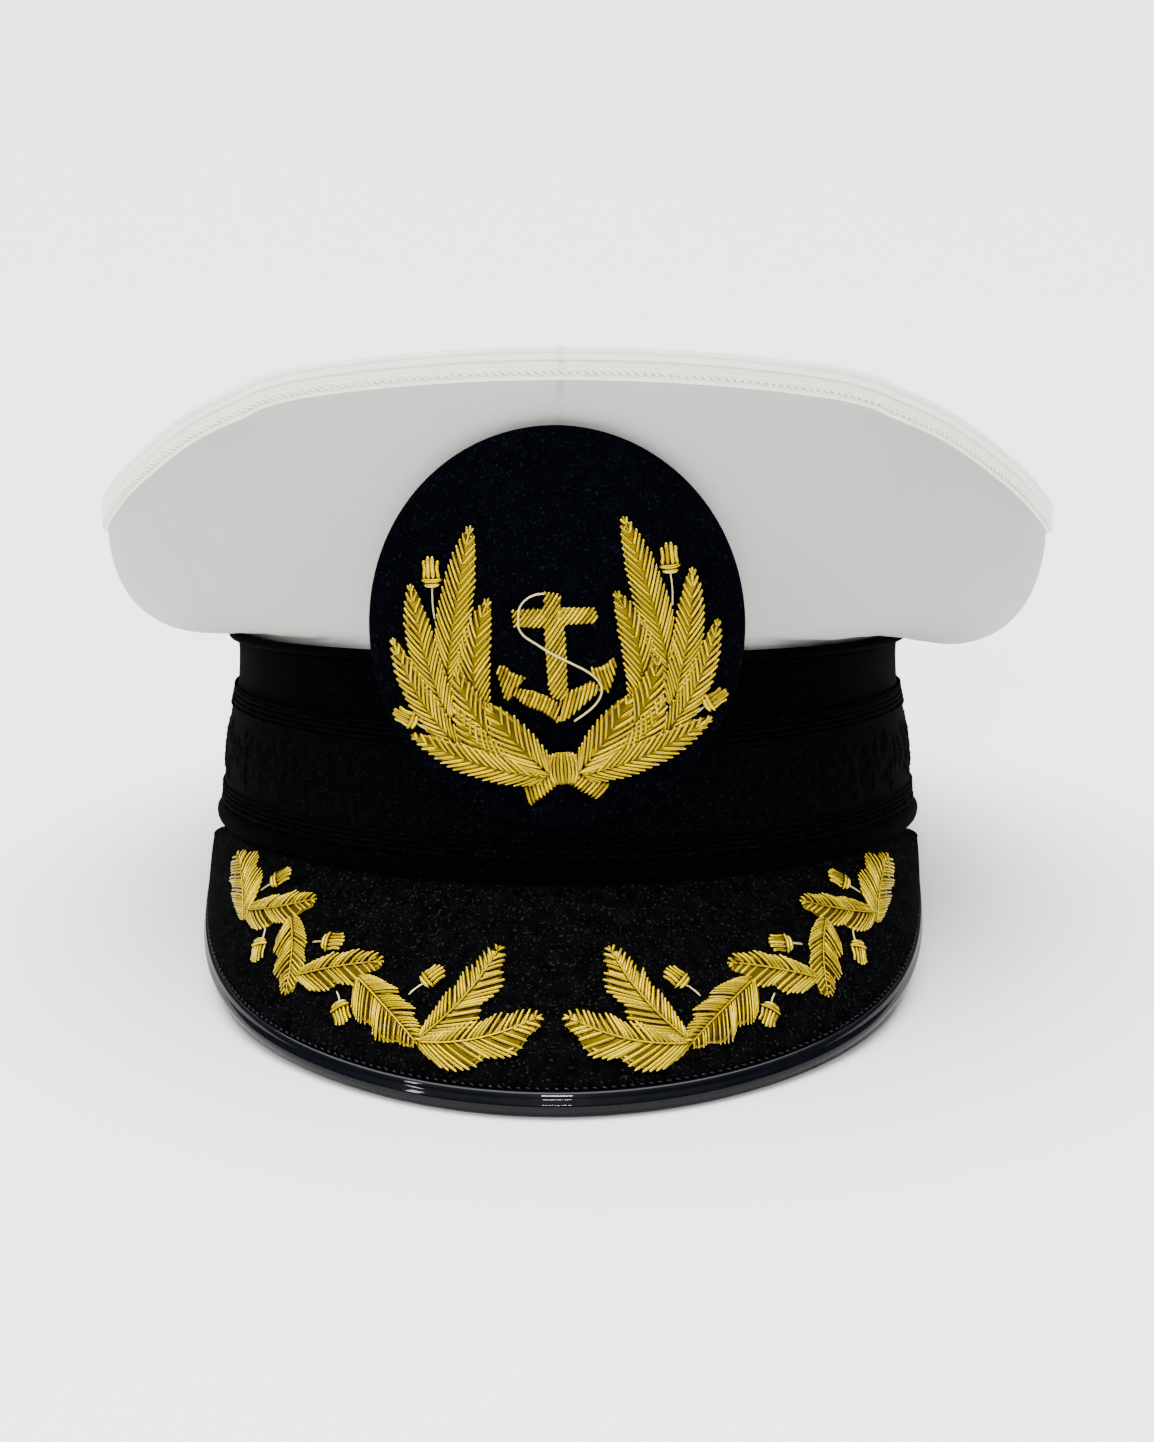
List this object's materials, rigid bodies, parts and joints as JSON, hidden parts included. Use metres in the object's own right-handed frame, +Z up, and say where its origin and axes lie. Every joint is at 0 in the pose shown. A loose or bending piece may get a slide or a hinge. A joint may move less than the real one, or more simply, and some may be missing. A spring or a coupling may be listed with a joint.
{
  "type": "captain hat",
  "caption": "Peaked sea captain's cap with a wide white crown, a black laced band, a wreath and anchor badge, and oak leaf embroidery on a black peak with a glossy bound edge.",
  "frame": {"origin": "middle of the cap's bounding box, on the surface that it rests on", "axes": "+Z up, the peak points to -Y, the wearer's left is +X; the cap rests on the bound edge of its peak and the back of its rim"},
  "size_m": [0.2466, 0.291, 0.1664],
  "materials": {
    "white_cover": "smooth white cover cloth with a soft sheen",
    "white_piping": "white piping in two rolls with stitches below",
    "black_cloth": "black velvet",
    "lace": "black mohair lace with a woven leaf pattern",
    "peak_cloth": "black wool felt",
    "peak_lining": "plain black lining under the peak",
    "patent": "black patent leather, high gloss",
    "badge_felt": "navy black wool felt",
    "gold_wire": "gold wire embroidery, satin to bright",
    "pale_wire": "paler fine wire cord"
  },
  "bodies": {
    "root": {"band": "black_cloth", "band_top_roll": "black_cloth", "band_bottom_roll": "black_cloth", "band_lace": "lace", "cover_side": "white_cover", "cover_top": "white_cover", "crown_piping": "white_piping", "peak_felt": "peak_cloth", "peak_board": "peak_lining", "peak_binding": "patent", "badge_backing": "badge_felt", "wreath_knot": "gold_wire", "anchor": "gold_wire", "anchor_rope": "pale_wire", "wreath_right": "gold_wire", "wreath_right_bud_upper": "gold_wire", "wreath_right_bud_lower": "gold_wire", "oak_leaf_right_1": "gold_wire", "oak_leaf_right_2": "gold_wire", "oak_leaf_right_3": "gold_wire", "oak_leaf_right_4": "gold_wire", "oak_leaf_right_5": "gold_wire", "oak_leaf_right_6": "gold_wire", "oak_leaf_right_7": "gold_wire", "acorn_right_1": "gold_wire", "acorn_right_2": "gold_wire", "acorn_right_3": "gold_wire", "acorn_right_4": "gold_wire", "acorn_right_5": "gold_wire", "wreath_left": "gold_wire", "wreath_left_bud_upper": "gold_wire", "wreath_left_bud_lower": "gold_wire", "oak_leaf_left_1": "gold_wire", "oak_leaf_left_2": "gold_wire", "oak_leaf_left_3": "gold_wire", "oak_leaf_left_4": "gold_wire", "oak_leaf_left_5": "gold_wire", "oak_leaf_left_6": "gold_wire", "oak_leaf_left_7": "gold_wire", "acorn_left_1": "gold_wire", "acorn_left_2": "gold_wire", "acorn_left_3": "gold_wire", "acorn_left_4": "gold_wire", "acorn_left_5": "gold_wire"}
  },
  "joints": []
}
